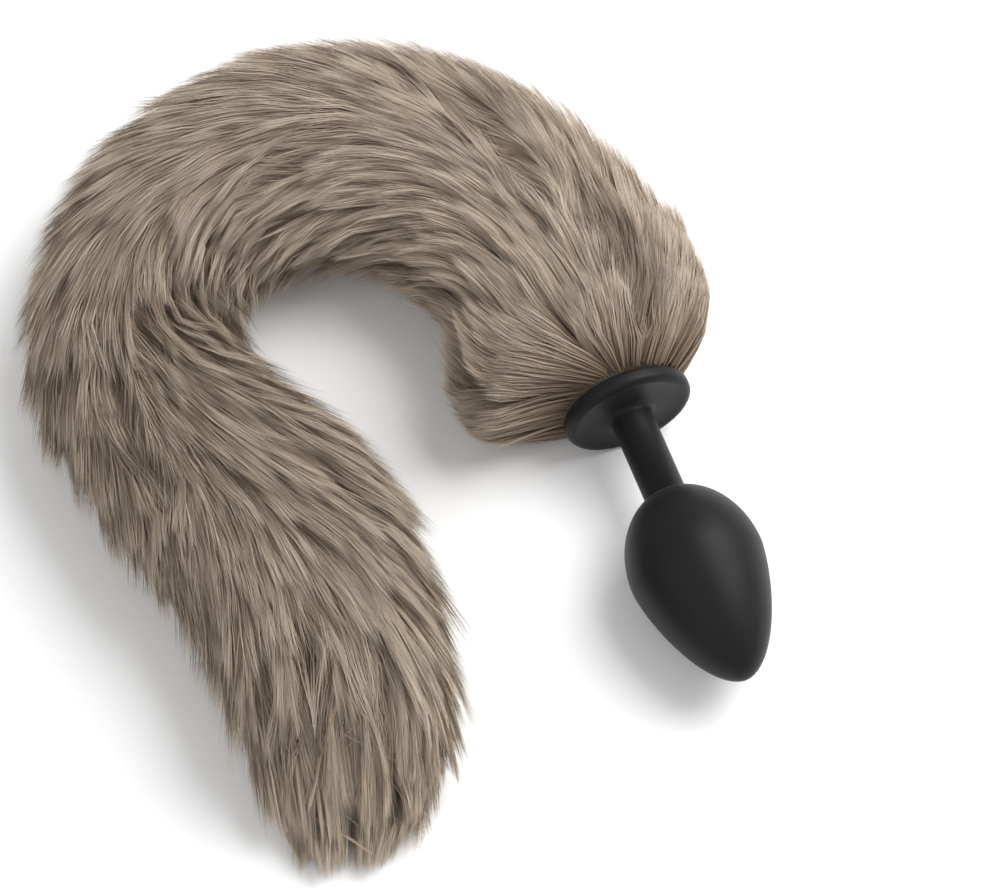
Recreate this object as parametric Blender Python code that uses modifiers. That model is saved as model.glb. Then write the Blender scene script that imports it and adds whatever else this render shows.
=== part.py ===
"""A fox tail plug lying on a table: a moulded silicone plug with a long faux-fur tail.

Metres, +Z up. The object rests on z = 0 and the origin is under the middle of its box.
The plug lies at the front right with its tip to the front. The tail leaves the back of the
plug's flange, bends to the left in an open hook and ends at the front left.
"""

import math
import random
from typing import NamedTuple

import bmesh
import bpy
import numpy as np
from mathutils import Matrix, Vector

# Plug, one moulding: a tapered bulb, a round neck and a round flange
BULB_DIAMETER = 0.034
BULB_LENGTH = 0.0522
BULB_WIDEST = 0.39  # share of the bulb's length, from the neck, where it is widest
BULB_TAPER = 1.4  # how late the bulb starts to narrow towards its tip
BULB_BLUNTNESS = 0.55  # 0.5 is a round tip, 1 a cone
NECK_DIAMETER = 0.0106
NECK_LENGTH = 0.024
NECK_FILLET = 0.0018
FLANGE_DIAMETER = 0.033
FLANGE_THICKNESS = 0.0046
FLANGE_EDGE_RADIUS = 0.0018
FLANGE_LIP_WIDTH = 0.0016
FLANGE_DISH_DEPTH = 0.0004
PLUG_HEADING = math.radians(-69.5)  # where the tip points, from +X
PLUG_SIDES = 32
SHOULDER_STEPS = 7
NOSE_STEPS = 10
EDGE_STEPS = 3
MERGE_DISTANCE = 0.00001

# Post that holds the tail in the flange, hidden inside both
CLEARANCE = 0.0003
POST_DIAMETER = 0.006
POST_IN_PLUG = 0.0052
POST_IN_TAIL = 0.022
POST_SIDES = 16

# Tail
TAIL_LENGTH = 0.332  # along its middle line
TAIL_WIDTH = 0.064
TAIL_HEIGHT = 0.050
CREST_START = 0.45  # share of a section's height at which it is widest
FLATTENING = 1.25  # how far the underside is pressed flat on the table
MIDDLE_LINE_STEPS = 400
PILE_DEPTH = 0.0036  # from the tail's outer form down to its backing
BACKING_LEAST_WIDTH = 0.0072  # half width at the tail's end
BACKING_SECTIONS = 36
BACKING_CROWDING = 1.06  # above 1, the sections lie closer together by the flange
BACKING_SIDES = 18

# Locks of fur on the backing
LOCK_LENGTH = 0.056
LOCK_WIDTH = 0.019
LOCK_FOOT = PILE_DEPTH + 0.0016  # depth of its edges below the tail's outer form
LOCK_ROOT = PILE_DEPTH + 0.0009  # depth of its ridge where it starts
LOCK_LIFT = 0.0022  # of a lock's tip above the tail's outer form
LOCK_RISE = 0.6  # below 1, the ridge comes up soon after the root
LOCK_ROOT_WIDTH = 0.5  # share of the lock's width
LOCK_SWELL = 1.3  # widening from the root on, as a share of the lock's width
LOCK_POINTING = 0.7  # below 1, the lock keeps its width until near its tip
LOCK_ROWS = 12
LOCKS_AROUND = 8
LOCK_LENGTH_RANGE = (0.8, 1.15)  # shares of the lock's length
LOCK_WIDTH_RANGE = (0.85, 1.15)  # shares of the lock's width
LOCK_GAP_RANGE = (1.0, 3.0)  # shares of the clearance, above the table and behind the flange
LOCK_DRIFT = math.radians(7.0)  # most turn round the tail from root to tip
PLACE_SCATTER = 0.02  # share of the way round by which a lock may be off its place
ROW_SCATTER = 0.02  # share of the tail's length by which a lock may start later
LOCK_STATIONS = (0.0, 0.25, 0.50, 0.75)  # shares of its length, before its tip
LOWEST_LOCK = math.radians(-14.0)  # from the level at which a section is widest
FIRST_ROW = 0.004  # share of the tail's length
LAST_ROW = 0.89
BRUSH_START = 0.93  # share at which the end's locks stop following the rounded end
BRUSH_CLOSING = 0.40  # how much they draw together from there to the tip
BRUSH_END = 1.012  # share at which the middle ones end
BRUSH_ROUNDING = 0.040  # how much sooner the ones at the sides end
BRUSH_SQUARENESS = 3  # above 1, only the ones well to the side end sooner
SEED = 7

SILICONE_COLOUR = (0.012, 0.012, 0.013)
FUR_COLOUR = (0.31, 0.26, 0.21)
POST_COLOUR = (0.10, 0.10, 0.10)


class Section(NamedTuple):
    """One section of the tail: share of its length, degrees turned to the left since the
    flange, half widths on the inner and outer side of the hook as shares of half the
    tail's width, and its height as a share of the tail's height."""

    share: float
    turn: float
    inner: float
    outer: float
    height: float


TAIL_SECTIONS = (
    Section(0.000, 0.0, 0.62, 0.54, 0.68),
    Section(0.015, 1.0, 1.06, 0.70, 0.80),
    Section(0.050, 3.5, 1.18, 0.90, 0.92),
    Section(0.100, 9.5, 1.10, 1.06, 1.00),
    Section(0.150, 18.5, 1.05, 1.00, 1.00),
    Section(0.200, 32.5, 1.06, 1.00, 1.00),
    Section(0.250, 48.5, 1.04, 1.02, 0.98),
    Section(0.300, 65.5, 1.06, 1.06, 0.96),
    Section(0.350, 83.5, 1.02, 1.08, 0.94),
    Section(0.400, 102.5, 0.96, 1.04, 0.92),
    Section(0.450, 122.5, 0.90, 1.04, 0.92),
    Section(0.500, 142.5, 0.86, 1.02, 0.92),
    Section(0.550, 162.5, 0.84, 1.00, 0.92),
    Section(0.600, 181.5, 0.86, 0.98, 0.92),
    Section(0.650, 193.5, 0.96, 0.98, 0.94),
    Section(0.700, 197.5, 1.08, 0.98, 0.96),
    Section(0.750, 193.5, 1.12, 0.96, 0.96),
    Section(0.800, 186.5, 1.10, 0.92, 0.96),
    Section(0.850, 178.5, 1.04, 0.88, 0.92),
    Section(0.900, 170.5, 0.94, 0.82, 0.84),
    Section(0.950, 163.5, 0.78, 0.70, 0.68),
    Section(0.985, 157.5, 0.50, 0.48, 0.44),
    Section(1.000, 155.5, 0.22, 0.22, 0.26),
)


def new_collection(name):
    """Makes a collection in the scene."""
    collection = bpy.data.collections.new(name)
    bpy.context.scene.collection.children.link(collection)
    return collection


def new_material(name, colour, roughness):
    """Makes a plain non-metal material."""
    material = bpy.data.materials.new(name)
    material.use_nodes = True
    shader = material.node_tree.nodes["Principled BSDF"]
    shader.inputs["Base Color"].default_value = (*colour, 1.0)
    shader.inputs["Roughness"].default_value = roughness
    shader.inputs["Metallic"].default_value = 0.0
    return material


def add_object(name, mesh, collection, material=None):
    """Puts a mesh in a collection as an object."""
    obj = bpy.data.objects.new(name, mesh)
    collection.objects.link(obj)
    if material is not None:
        mesh.materials.append(material)
    return obj


def arc(centre, radius, start, end, steps):
    """Points of an arc in the profile's plane, its ends included. Angles in degrees."""
    angles = np.radians(np.linspace(start, end, steps + 1))
    return [(centre[0] + radius * math.cos(a), centre[1] + radius * math.sin(a)) for a in angles]


def shoulder_profile(start_depth):
    """The bulb from the neck to its widest, a part of an ellipse."""
    bulb_radius = BULB_DIAMETER / 2
    length = BULB_LENGTH * BULB_WIDEST
    start_angle = math.acos(NECK_DIAMETER / BULB_DIAMETER)
    reach = length / math.sin(start_angle)
    angles = np.linspace(start_angle, 0.0, SHOULDER_STEPS + 1)
    return [(bulb_radius * math.cos(a), start_depth - length + reach * math.sin(a)) for a in angles[1:]]


def nose_profile(start_depth):
    """The bulb from its widest to the tip, a blunt taper."""
    length = BULB_LENGTH * (1 - BULB_WIDEST)
    shares = np.sin(np.linspace(0.0, math.pi / 2, NOSE_STEPS + 1))[1:-1]
    points = [
        (BULB_DIAMETER / 2 * (1 - s**BULB_TAPER) ** BULB_BLUNTNESS, start_depth - length * s) for s in shares
    ]
    return [*points, (0.0, start_depth - length)]


def plug_profile():
    """The plug's half section. Depth 0 is the flange's back, and the tip points down."""
    socket_radius = POST_DIAMETER / 2 + CLEARANCE
    socket_depth = POST_IN_PLUG + CLEARANCE
    edge = FLANGE_EDGE_RADIUS
    edge_centre = FLANGE_DIAMETER / 2 - edge
    front = -FLANGE_THICKNESS
    dish = front + FLANGE_DISH_DEPTH
    neck_radius = NECK_DIAMETER / 2
    neck_end = front - NECK_LENGTH
    widest = neck_end - BULB_LENGTH * BULB_WIDEST
    return [
        (0.0, -socket_depth),
        (socket_radius, -socket_depth),
        (socket_radius, 0.0),
        *arc((edge_centre, -edge), edge, 90, 0, EDGE_STEPS),
        *arc((edge_centre, front + edge), edge, 0, -90, EDGE_STEPS),
        (edge_centre - FLANGE_LIP_WIDTH, dish),
        *arc((neck_radius + NECK_FILLET, dish - NECK_FILLET), NECK_FILLET, 90, 180, EDGE_STEPS),
        (neck_radius, neck_end),
        *shoulder_profile(neck_end),
        *nose_profile(widest),
    ]


def plug_rest_tilt():
    """How far the tip points up when the bulb and the flange's edge lie on the table."""
    apart = FLANGE_THICKNESS / 2 + NECK_LENGTH + BULB_LENGTH * BULB_WIDEST
    return math.atan2((BULB_DIAMETER - FLANGE_DIAMETER) / 2, apart)


def plug_axis():
    """The direction from the flange to the tip."""
    tilt = plug_rest_tilt()
    level = math.cos(tilt)
    return Vector((level * math.cos(PLUG_HEADING), level * math.sin(PLUG_HEADING), math.sin(tilt)))


def plug_placement():
    """Turns the profile's downward axis to the plug's axis, with the flange's back at the origin's side."""
    turn = Vector((0, 0, -1)).rotation_difference(plug_axis()).to_matrix().to_4x4()
    height = FLANGE_DIAMETER / 2 * math.cos(plug_rest_tilt())
    return Matrix.Translation((0, 0, height)) @ turn


def build_plug(collection, material):
    """The bulb, neck and flange as one turned solid."""
    points = plug_profile()
    mesh = bpy.data.meshes.new("plug")
    mesh.from_pydata([(r, 0.0, z) for r, z in points], [(i, i + 1) for i in range(len(points) - 1)], [])
    plug = add_object("plug", mesh, collection, material)
    screw = plug.modifiers.new("turned", "SCREW")
    screw.axis = "Z"
    screw.steps = screw.render_steps = PLUG_SIDES
    screw.use_merge_vertices = True
    screw.merge_threshold = MERGE_DISTANCE
    screw.use_smooth_shade = True
    plug.matrix_world = plug_placement()
    return plug


def cylinder_mesh(name, radius, start, end, sides):
    """A closed cylinder along local Z."""
    mesh = bpy.data.meshes.new(name)
    form = bmesh.new()
    middle = Matrix.Translation((0, 0, (start + end) / 2))
    bmesh.ops.create_cone(
        form, cap_ends=True, segments=sides, radius1=radius, radius2=radius, depth=end - start, matrix=middle
    )
    form.to_mesh(mesh)
    form.free()
    return mesh


def build_post(collection, material):
    """The plain post, from inside the flange into the tail."""
    mesh = cylinder_mesh("tail_post", POST_DIAMETER / 2, -POST_IN_PLUG, POST_IN_TAIL, POST_SIDES)
    post = add_object("tail_post", mesh, collection, material)
    post.matrix_world = plug_placement()
    return post


def build_post_cutter(collection):
    """The socket for the post in the tail."""
    radius = POST_DIAMETER / 2 + CLEARANCE
    mesh = cylinder_mesh("post_socket", radius, -POST_IN_PLUG, POST_IN_TAIL + CLEARANCE, POST_SIDES)
    cutter = add_object("post_socket", mesh, collection)
    cutter.matrix_world = plug_placement()
    return as_cutter(cutter)


class TailForm:
    """The tail's outer form: its middle line on the table and its sections along it."""

    def __init__(self):
        """Walks the middle line from the flange with the headings of the sections."""
        self.shares = np.array([s.share for s in TAIL_SECTIONS])
        self.columns = {name: np.array([getattr(s, name) for s in TAIL_SECTIONS]) for name in Section._fields[1:]}
        self.walk = np.linspace(0.0, 1.0, MIDDLE_LINE_STEPS + 1)
        headings = self.heading(self.walk)
        ways = np.stack([np.cos(headings), np.sin(headings)], axis=1)
        moves = (ways[1:] + ways[:-1]) / 2 * TAIL_LENGTH / MIDDLE_LINE_STEPS
        start = -np.array(plug_axis()[:2]) * CLEARANCE
        self.middle = start + np.concatenate([[[0.0, 0.0]], np.cumsum(moves, axis=0)])

    def column(self, name, share):
        """A column of the section table at a share of the length."""
        return np.interp(share, self.shares, self.columns[name])

    def heading(self, share):
        """Where the tail runs at a share of its length, from +X."""
        return PLUG_HEADING + math.pi + np.radians(self.column("turn", share))

    def frame(self, share):
        """A point of the middle line, the way on, and the way to the hook's inner side."""
        on_line = min(share, 1.0)
        point = np.array([np.interp(on_line, self.walk, self.middle[:, k]) for k in (0, 1)])
        heading = self.heading(on_line)
        way = np.array([math.cos(heading), math.sin(heading)])
        point = point + way * (share - on_line) * TAIL_LENGTH
        return point, way, np.array([-way[1], way[0]])

    def half_sizes(self, share, brush):
        """Half width to the inner and the outer side, and height. The brush keeps the end's locks open."""
        held = min(share, BRUSH_START) if brush else share
        closing = 1.0 - BRUSH_CLOSING * max(0.0, share - held) / (1.0 - BRUSH_START)
        inner = self.column("inner", held) * TAIL_WIDTH / 2 * closing
        outer = self.column("outer", held) * TAIL_WIDTH / 2 * closing
        return inner, outer, self.column("height", held) * TAIL_HEIGHT * closing**2

    def point(self, share, angle, depth=0.0, brush=False):
        """A point at an angle round a section, from the inner side over the top, and a depth below the form."""
        point, _, side = self.frame(share)
        inner, outer, tall = self.half_sizes(share, brush)
        crest = CREST_START * tall
        half = max(inner if math.cos(angle) > 0 else outer, BACKING_LEAST_WIDTH) - depth
        if math.sin(angle) >= 0:
            height = crest + (tall - crest - depth) * math.sin(angle)
        else:
            height = crest * (1 - min(1.0, -FLATTENING * math.sin(angle)))
        return Vector((*(point + side * half * math.cos(angle)), height))


def build_backing(form, collection, material):
    """The tail without its locks: a loft of rounded sections with a flat underside."""
    shares = np.linspace(0.0, 1.0, BACKING_SECTIONS) ** BACKING_CROWDING
    angles = np.linspace(0.0, 2 * math.pi, BACKING_SIDES, endpoint=False)
    body = bmesh.new()
    rings = [[body.verts.new(form.point(s, a, PILE_DEPTH)) for a in angles] for s in shares]
    for ring, after in zip(rings, rings[1:]):
        for i in range(BACKING_SIDES):
            j = (i + 1) % BACKING_SIDES
            body.faces.new((ring[i], ring[j], after[j], after[i]))
    for ring in (rings[0], rings[-1]):
        body.faces.new(ring)
    bmesh.ops.recalc_face_normals(body, faces=body.faces)
    mesh = bpy.data.meshes.new("backing")
    body.to_mesh(mesh)
    body.free()
    return add_object("backing", mesh, collection, material)


def lock_depth(t):
    """How deep a lock's ridge lies below the tail's outer form along its length."""
    return LOCK_ROOT - (LOCK_ROOT + LOCK_LIFT) * t**LOCK_RISE


def clear_of_neighbours(point, gap, by_flange):
    """Keeps a point of a lock above the table and, by the flange, behind the flange's back."""
    back = -plug_axis()
    short = gap + CLEARANCE - (point - Vector((0, 0, FLANGE_DIAMETER / 2))).dot(back)
    if by_flange and short > 0:
        point = point + back * short
    return Vector((point.x, point.y, max(point.z, gap)))


def add_lock(lock, form, share, angle, length, width, drift, gap):
    """One lock: a ridge that rises out of the backing, lies along the form and ends in a free point."""
    by_flange = share * TAIL_LENGTH < TAIL_WIDTH
    last_share = BRUSH_END - BRUSH_ROUNDING * abs(math.cos(angle)) ** BRUSH_SQUARENESS
    length = min(length, (last_share - share) * TAIL_LENGTH)
    rings = []
    for t in LOCK_STATIONS:
        here = share + t * length / TAIL_LENGTH
        turn = angle + drift * t
        spread = width / TAIL_HEIGHT * (LOCK_ROOT_WIDTH + LOCK_SWELL * t) * (1 - t) ** LOCK_POINTING
        places = ((turn + spread, LOCK_FOOT), (turn, lock_depth(t)), (turn - spread, LOCK_FOOT))
        corners = [form.point(here, around, depth, brush=True) for around, depth in places]
        rings.append([lock.verts.new(clear_of_neighbours(corner, gap, by_flange)) for corner in corners])
    end = share + length / TAIL_LENGTH
    tip_point = form.point(end, angle + drift, lock_depth(1.0), brush=True)
    tip = lock.verts.new(clear_of_neighbours(tip_point, gap, by_flange))
    for ring, after in zip(rings, rings[1:]):
        for i in range(3):
            j = (i + 1) % 3
            lock.faces.new((ring[i], ring[j], after[j], after[i]))
    for i in range(3):
        lock.faces.new((rings[-1][i], rings[-1][(i + 1) % 3], tip))
    lock.faces.new(rings[0])
    bmesh.ops.recalc_face_normals(lock, faces=lock.faces)
    if lock.calc_volume(signed=True) < 0:
        bmesh.ops.reverse_faces(lock, faces=lock.faces)


def build_locks(form, collection):
    """Rows of locks over the top and both sides, each row half a step round from the last."""
    chance = random.Random(SEED)
    arc_of_locks = math.pi - 2 * LOWEST_LOCK
    for row in range(LOCK_ROWS):
        row_share = FIRST_ROW + (LAST_ROW - FIRST_ROW) * row / (LOCK_ROWS - 1)
        for i in range(LOCKS_AROUND):
            place = (i + 0.25 + 0.5 * (row % 2)) / LOCKS_AROUND
            angle = LOWEST_LOCK + arc_of_locks * (place + chance.uniform(-PLACE_SCATTER, PLACE_SCATTER))
            share = row_share + chance.uniform(0.0, ROW_SCATTER)
            length = LOCK_LENGTH * chance.uniform(*LOCK_LENGTH_RANGE)
            width = LOCK_WIDTH * chance.uniform(*LOCK_WIDTH_RANGE)
            drift = chance.uniform(-LOCK_DRIFT, LOCK_DRIFT)
            gap = CLEARANCE * chance.uniform(*LOCK_GAP_RANGE)
            lock = bmesh.new()
            add_lock(lock, form, share, angle, length, width, drift, gap)
            mesh = bpy.data.meshes.new(f"lock_{row}_{i}")
            lock.to_mesh(mesh)
            lock.free()
            as_cutter(add_object(mesh.name, mesh, collection))


def as_cutter(obj):
    """Keeps a helper out of the renders."""
    obj.hide_render = True
    obj.display_type = "WIRE"
    return obj


def add_boolean(obj, name, operation, solver):
    """Adds a Boolean modifier."""
    modifier = obj.modifiers.new(name, "BOOLEAN")
    modifier.operation = operation
    modifier.solver = solver
    return modifier


def shell_of(vert, seen):
    """All vertices that hang together with one of them."""
    found = [vert]
    seen.add(vert)
    for one in found:
        for edge in one.link_edges:
            other = edge.other_vert(one)
            if other not in seen:
                seen.add(other)
                found.append(other)
    return found


def keep_outer_shell(obj):
    """Drops the small sealed gaps that the locks leave between them, so that the tail is one closed body."""
    body = bmesh.new()
    body.from_mesh(obj.data)
    seen = set()
    shells = [shell_of(vert, seen) for vert in body.verts if vert not in seen]
    shells.sort(key=len)
    bmesh.ops.delete(body, geom=[vert for shell in shells[:-1] for vert in shell], context="VERTS")
    body.to_mesh(obj.data)
    body.free()


def build_tail(collection, cutters, lock_collection, material):
    """The fur tail: backing with its locks fused on, and the socket for the post cut in."""
    form = TailForm()
    backing = build_backing(form, cutters, material)
    build_locks(form, lock_collection)
    fuse = add_boolean(backing, "locks", "UNION", "MANIFOLD")
    fuse.operand_type = "COLLECTION"
    fuse.collection = lock_collection
    add_boolean(backing, "post_socket", "DIFFERENCE", "MANIFOLD").object = build_post_cutter(cutters)
    depsgraph = bpy.context.evaluated_depsgraph_get()
    fused = bpy.data.meshes.new_from_object(backing.evaluated_get(depsgraph))
    bpy.data.objects.remove(backing, do_unlink=True)
    tail = add_object("fur_tail", fused, collection)
    keep_outer_shell(tail)
    return tail


def box_of(objects):
    """The low and high corner of the finished objects."""
    depsgraph = bpy.context.evaluated_depsgraph_get()
    corners = []
    for obj in objects:
        ready = obj.evaluated_get(depsgraph)
        corners += [tuple(ready.matrix_world @ v.co) for v in ready.to_mesh().vertices]
    corners = np.array(corners)
    return corners.min(axis=0), corners.max(axis=0)


def centre_over_origin(objects, movable):
    """Moves everything level so that the origin is under the middle of the object's box."""
    bpy.context.view_layer.update()
    low, high = box_of(objects)
    shift = Matrix.Translation((-(low[0] + high[0]) / 2, -(low[1] + high[1]) / 2, 0))
    for obj in movable:
        obj.matrix_world = shift @ obj.matrix_world


def main():
    """Builds the whole object."""
    for obj in list(bpy.data.objects):
        bpy.data.objects.remove(obj, do_unlink=True)
    parts = new_collection("fox_tail_plug")
    cutters = new_collection("cutters")
    locks = new_collection("locks")
    plug = build_plug(parts, new_material("black_silicone", SILICONE_COLOUR, 0.5))
    post = build_post(parts, new_material("post_plastic", POST_COLOUR, 0.4))
    tail = build_tail(parts, cutters, locks, new_material("taupe_fur", FUR_COLOUR, 0.9))
    centre_over_origin([plug, post, tail], [plug, post, tail, *cutters.objects, *locks.objects])


main()
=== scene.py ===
"""Looks for a fox tail plug: a matte black silicone plug with a long plush taupe faux-fur tail.

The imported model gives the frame. The plug is turned again with more sides, and the tail is a dark
underfur with a coat of strands on it, gathered in wisps and locks as the pile of real faux fur is.
Metres, +Z up, and the object rests on z = 0.
"""

import logging
import math
from dataclasses import dataclass, field
from enum import Enum
from typing import NamedTuple

import bpy
import numpy as np
from mathutils import Matrix, Vector

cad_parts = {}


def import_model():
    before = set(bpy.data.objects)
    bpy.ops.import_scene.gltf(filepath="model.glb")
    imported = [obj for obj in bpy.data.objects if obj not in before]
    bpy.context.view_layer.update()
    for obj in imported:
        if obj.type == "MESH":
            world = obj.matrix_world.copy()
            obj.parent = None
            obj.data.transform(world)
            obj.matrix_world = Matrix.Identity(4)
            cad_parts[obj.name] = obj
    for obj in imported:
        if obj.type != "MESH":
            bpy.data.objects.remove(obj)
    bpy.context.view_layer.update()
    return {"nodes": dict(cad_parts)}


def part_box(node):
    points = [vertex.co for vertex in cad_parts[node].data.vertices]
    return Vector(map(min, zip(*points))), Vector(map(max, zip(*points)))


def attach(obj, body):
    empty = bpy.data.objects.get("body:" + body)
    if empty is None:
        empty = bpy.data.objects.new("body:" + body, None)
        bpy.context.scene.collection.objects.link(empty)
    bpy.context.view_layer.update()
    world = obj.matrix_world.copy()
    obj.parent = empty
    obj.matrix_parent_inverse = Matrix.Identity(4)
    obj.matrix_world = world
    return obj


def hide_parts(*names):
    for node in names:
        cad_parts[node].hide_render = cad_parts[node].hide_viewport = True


log = logging.getLogger("fox_tail_plug")

Colour = tuple[float, float, float]
Spot = tuple[float, float]

ROOT_BODY = "root"
TEXTURE_MAP = "OFBake"  # the UV map that patterns are drawn on

# Plug, as in the part's source
BULB_DIAMETER = 0.034
BULB_LENGTH = 0.0522
BULB_WIDEST = 0.39
BULB_TAPER = 1.4
BULB_BLUNTNESS = 0.55
NECK_DIAMETER = 0.0106
NECK_LENGTH = 0.024
NECK_FILLET = 0.0018
FLANGE_DIAMETER = 0.033
FLANGE_THICKNESS = 0.0046
FLANGE_EDGE_RADIUS = 0.0018
FLANGE_LIP_WIDTH = 0.0016
FLANGE_DISH_DEPTH = 0.0004
PLUG_HEADING = math.radians(-69.5)  # where the tip points, from +X
CLEARANCE = 0.0003
POST_DIAMETER = 0.006
POST_IN_PLUG = 0.0052
POST_IN_TAIL = 0.022

# Tail. Its main sizes are those of the part's source
TAIL_LENGTH = 0.332
TAIL_WIDTH = 0.064
TAIL_HEIGHT = 0.050
TAIL_GIRTH = 0.165  # usual way round a section
CREST_START = 0.45  # how high a section is widest, as a share of its height
FLATTENING = 1.25  # above 1 the underside lies flat
LEAST_WIDTH = 0.0072
BRUSH_START = 0.93  # share of the length from which the end closes
BRUSH_CLOSING = 0.40
LEAST_CLOSING = 0.06
BRUSH_DROP = 3.4  # how much faster the end falls than it narrows
MIDDLE_LINE_STEPS = 400

# Coat of fur
ROOT_DEPTH = 0.0095  # of the strands' roots below the tail's outer form, where it is thick
COLLAR_SHARE = 0.06  # share of the length over which the tail opens from the flange
BRUSH_SHARE = 0.16  # share over which it closes to its end
BRUSH_END = 1.022  # share at which the longest strands end
LEAST_ROOM = 0.12  # share of the root depth that the two ends have room for
ROOM_CURVE = 0.8
FULL_TURN = 6.283  # radians, as the strands' node tree takes it
TINY = 1e-9


class Section(NamedTuple):
    """One section of the tail. By the flange it is gathered in closer than in the part's source.

    Share of its length, degrees turned to the left since the flange, half widths on the inner
    and outer side of the hook as shares of half the tail's width, and height as a share.
    """

    share: float
    turn: float
    inner: float
    outer: float
    height: float


TAIL_SECTIONS = (
    Section(0.000, 0.0, 0.48, 0.46, 0.61),
    Section(0.008, 0.5, 0.80, 0.58, 0.70),
    Section(0.020, 1.3, 1.05, 0.72, 0.80),
    Section(0.050, 3.5, 1.18, 0.90, 0.92),
    Section(0.100, 9.5, 1.10, 1.06, 1.00),
    Section(0.150, 18.5, 1.05, 1.00, 1.00),
    Section(0.200, 32.5, 1.06, 1.00, 1.00),
    Section(0.250, 48.5, 1.04, 1.02, 0.98),
    Section(0.300, 65.5, 1.06, 1.06, 0.96),
    Section(0.350, 83.5, 1.02, 1.08, 0.94),
    Section(0.400, 102.5, 0.96, 1.04, 0.92),
    Section(0.450, 122.5, 0.90, 1.04, 0.92),
    Section(0.500, 142.5, 0.86, 1.02, 0.92),
    Section(0.550, 162.5, 0.84, 1.00, 0.92),
    Section(0.600, 181.5, 0.86, 0.98, 0.92),
    Section(0.650, 193.5, 0.96, 0.98, 0.94),
    Section(0.700, 197.5, 1.08, 0.98, 0.96),
    Section(0.750, 193.5, 1.12, 0.96, 0.96),
    Section(0.800, 186.5, 1.10, 0.92, 0.96),
    Section(0.850, 178.5, 1.04, 0.88, 0.92),
    Section(0.900, 170.5, 0.94, 0.82, 0.84),
    Section(0.950, 163.5, 0.78, 0.70, 0.68),
    Section(0.985, 157.5, 0.50, 0.48, 0.44),
    Section(1.000, 155.5, 0.22, 0.22, 0.26),
)


class CoatPart(NamedTuple):
    """One piece of the coat: its name, the shares of the length it covers and its strands' steps."""

    name: str
    start: float
    end: float
    steps: int


COAT_PARTS = (
    CoatPart("fur_collar", 0.00, 0.13, 4),
    CoatPart("fur_shoulder", 0.13, 0.29, 3),
    CoatPart("fur_bend", 0.29, 0.46, 3),
    CoatPart("fur_back", 0.46, 0.63, 3),
    CoatPart("fur_arm", 0.63, 0.80, 3),
    CoatPart("fur_brush", 0.80, 0.945, 3),
)


class Flare(NamedTuple):
    """How far the strands' tips stray to the hook's inner and outer side at a share of the length."""

    share: float
    inner: float
    outer: float


FLARES = (
    Flare(0.00, 0.006, 0.006),
    Flare(0.08, 0.010, 0.010),
    Flare(0.25, 0.008, 0.014),
    Flare(0.38, 0.004, 0.014),
    Flare(0.50, 0.006, 0.012),
    Flare(0.62, 0.010, 0.010),
    Flare(0.80, 0.013, 0.007),
    Flare(0.90, 0.005, 0.003),
    Flare(1.00, 0.000, 0.000),
)


class Level(NamedTuple):
    """A value at a share of the tail's length."""

    share: float
    value: float


# Painted light and shade along the tail, added to the strands' tone: lighter by the flange and the brush,
# darker over the bend
PAINTED_LIGHT_ALONG = (
    Level(0.00, 0.06),
    Level(0.07, 0.18),
    Level(0.20, 0.05),
    Level(0.38, -0.10),
    Level(0.55, -0.12),
    Level(0.72, -0.02),
    Level(0.88, 0.10),
    Level(1.00, 0.14),
)

# Metres from the outer form in to the surface that the strands lie on
LAY_INSET = (
    Level(0.00, 0.0),
    Level(0.06, 0.0006),
    Level(0.12, 0.0018),
    Level(0.60, 0.0020),
    Level(0.80, 0.0014),
    Level(0.92, 0.0004),
    Level(1.00, 0.0),
)


class Crease(NamedTuple):
    """A place where the pile opens, and where its strands are painted darker as shade.

    Its two ends are shares of the length and of the way round, its half width and depth are
    metres, and with a depth below 0 the pile swells there and its strands are painted lighter.
    """

    share: float
    around: float
    end_share: float
    end_around: float
    width: float
    depth: float


CREASES = (
    Crease(0.51, 0.33, 0.55, 0.42, 0.0085, 0.0055),
    Crease(0.43, 0.31, 0.46, 0.38, 0.0055, 0.0040),
    Crease(0.55, 0.47, 0.59, 0.50, 0.0024, 0.0035),
    Crease(0.60, 0.575, 0.70, 0.600, 0.0026, 0.0055),
    Crease(0.27, 0.58, 0.15, 0.50, 0.0034, 0.0048),
    Crease(0.12, 0.55, 0.03, 0.57, 0.0036, 0.0060),
    Crease(0.03, 0.71, 0.055, 0.74, 0.0090, -0.0030),
    Crease(0.33, 0.47, 0.41, 0.42, 0.0026, 0.0030),
    Crease(0.70, 0.42, 0.77, 0.38, 0.0040, 0.0030),
    Crease(0.86, 0.53, 0.93, 0.55, 0.0028, 0.0040),
    Crease(0.93, 0.50, 0.955, 0.49, 0.0028, 0.0022),
    Crease(0.86, 0.62, 0.92, 0.64, 0.0026, 0.0040),
    Crease(0.89, 0.46, 0.95, 0.40, 0.0028, 0.0030),
)


class Spread(NamedTuple):
    """How much a value differs from lock to lock, from wisp to wisp and from strand to strand."""

    lock: float
    wisp: float
    own: float


LEAST_LENGTH = Spread(0.72, 0.85, 0.86)  # as factors of the strand length
MORE_LENGTH = Spread(0.40, 0.25, 0.20)
SIDE_SPREAD = Spread(0.007, 0.003, 0.001)  # metres at the tip
LIFT_SPREAD = Spread(0.7, 2.0, 0.5)  # in tip lifts
TONE_SPREAD = Spread(0.16, 0.24, 0.42)


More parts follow.
